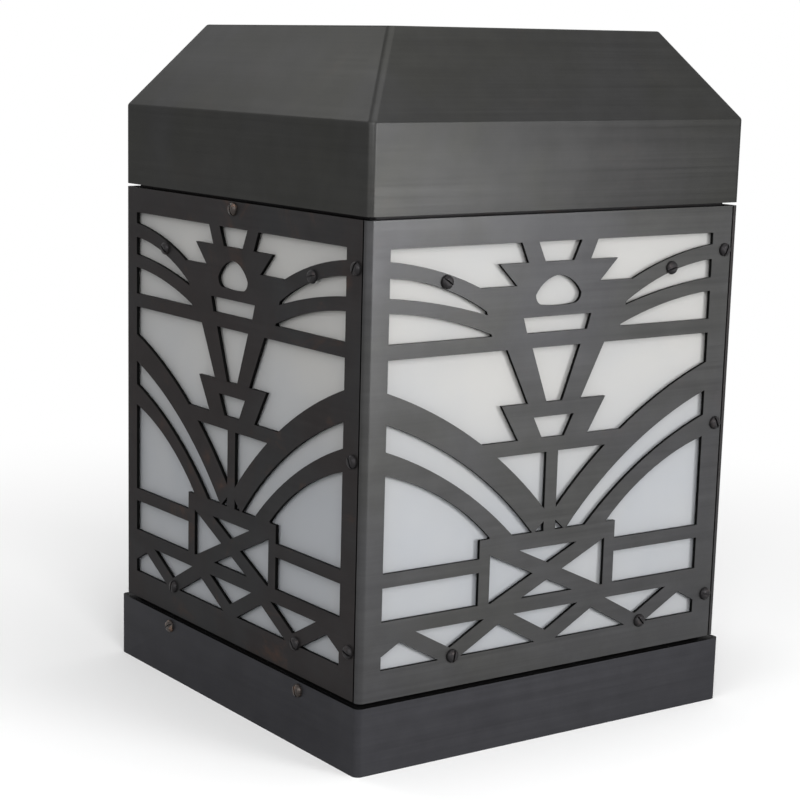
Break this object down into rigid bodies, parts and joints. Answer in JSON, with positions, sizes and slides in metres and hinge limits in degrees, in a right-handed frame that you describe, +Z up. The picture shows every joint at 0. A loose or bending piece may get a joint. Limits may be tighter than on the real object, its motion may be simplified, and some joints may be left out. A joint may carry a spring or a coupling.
{
  "type": "deck post cap light",
  "caption": "Square lantern that caps a timber deck post: fretwork metal panels over opal sheets, a skirted base and a hipped lid that lifts off to reach the bulb.",
  "frame": {"origin": "middle of the base skirt's bottom edge", "axes": "+Z up, -Y the front, -X the left side, which has base screws"},
  "size_m": [0.2008, 0.1974, 0.2934],
  "materials": {
    "patina_sheet": "dark brushed patina",
    "bronze_screws": "dark bronze, worn on the edges",
    "opal_sheet": "frosted opal acrylic",
    "zinc_hardware": "zinc plated",
    "porcelain": "glazed white",
    "bright_brass": "plain drawn brass",
    "nickel_cap": "satin",
    "black_insulator": "gloss",
    "lamp_plastic": "smooth white",
    "lamp_globe": "frosted white",
    "board": "white coated",
    "rubber_grommet": "matt black",
    "block_plastic": "moulded nylon",
    "lead_black": "PVC",
    "lead_white": "PVC",
    "lead_green": "PVC"
  },
  "bodies": {
    "lantern": {"back_lens": "opal_sheet", "back_panel": "patina_sheet", "base_screws": "bronze_screws", "base_skirt": "patina_sheet", "block_screws": "zinc_hardware", "bottom_ring": "patina_sheet", "bracket_screws": "zinc_hardware", "centre_contact": "bright_brass", "clamp_screws": "zinc_hardware", "corner_angle_back_right": "patina_sheet", "corner_angle_front_left": "patina_sheet", "corner_angle_left_back": "patina_sheet", "corner_angle_right_front": "patina_sheet", "corner_screws": "bronze_screws", "earth_lead": "lead_green", "earth_screw": "bright_brass", "earth_terminal": "bright_brass", "floor_pan": "patina_sheet", "foot_nuts": "zinc_hardware", "foot_screws": "zinc_hardware", "front_lens": "opal_sheet", "front_panel": "patina_sheet", "holder_screws": "zinc_hardware", "lamp_bracket": "zinc_hardware", "lamp_holder": "porcelain", "left_lens": "opal_sheet", "left_panel": "patina_sheet", "lens_nuts": "zinc_hardware", "lens_screws": "bronze_screws", "lens_spacers": "zinc_hardware", "lens_washers": "zinc_hardware", "lid_nuts": "zinc_hardware", "lid_screws": "bronze_screws", "lid_spacers": "zinc_hardware", "live_lead": "lead_black", "neutral_lead": "lead_white", "post_plate": "patina_sheet", "right_lens": "opal_sheet", "right_panel": "patina_sheet", "screw_shell": "bright_brass", "terminal_block": "block_plastic", "top_ring": "patina_sheet", "top_ring_screws": "zinc_hardware", "wire_grommet": "rubber_grommet"},
    "lid": {"lid_shell": "patina_sheet", "lid_collar": "patina_sheet"},
    "bulb": {"bulb_contact": "bright_brass", "bulb_insulator": "black_insulator", "bulb_cap": "nickel_cap", "bulb_housing": "lamp_plastic", "light_board": "board", "bulb_globe": "lamp_globe"}
  },
  "joints": [
    {"name": "lid_lift", "type": "slide", "parent": "lantern", "child": "lid", "axis": [0, 0, 1], "range_m": [0, 0.08]},
    {"name": "bulb_unscrew", "type": "slide", "parent": "lantern", "child": "bulb", "axis": [0, 0, 1], "range_m": [0, 0.028]}
  ]
}
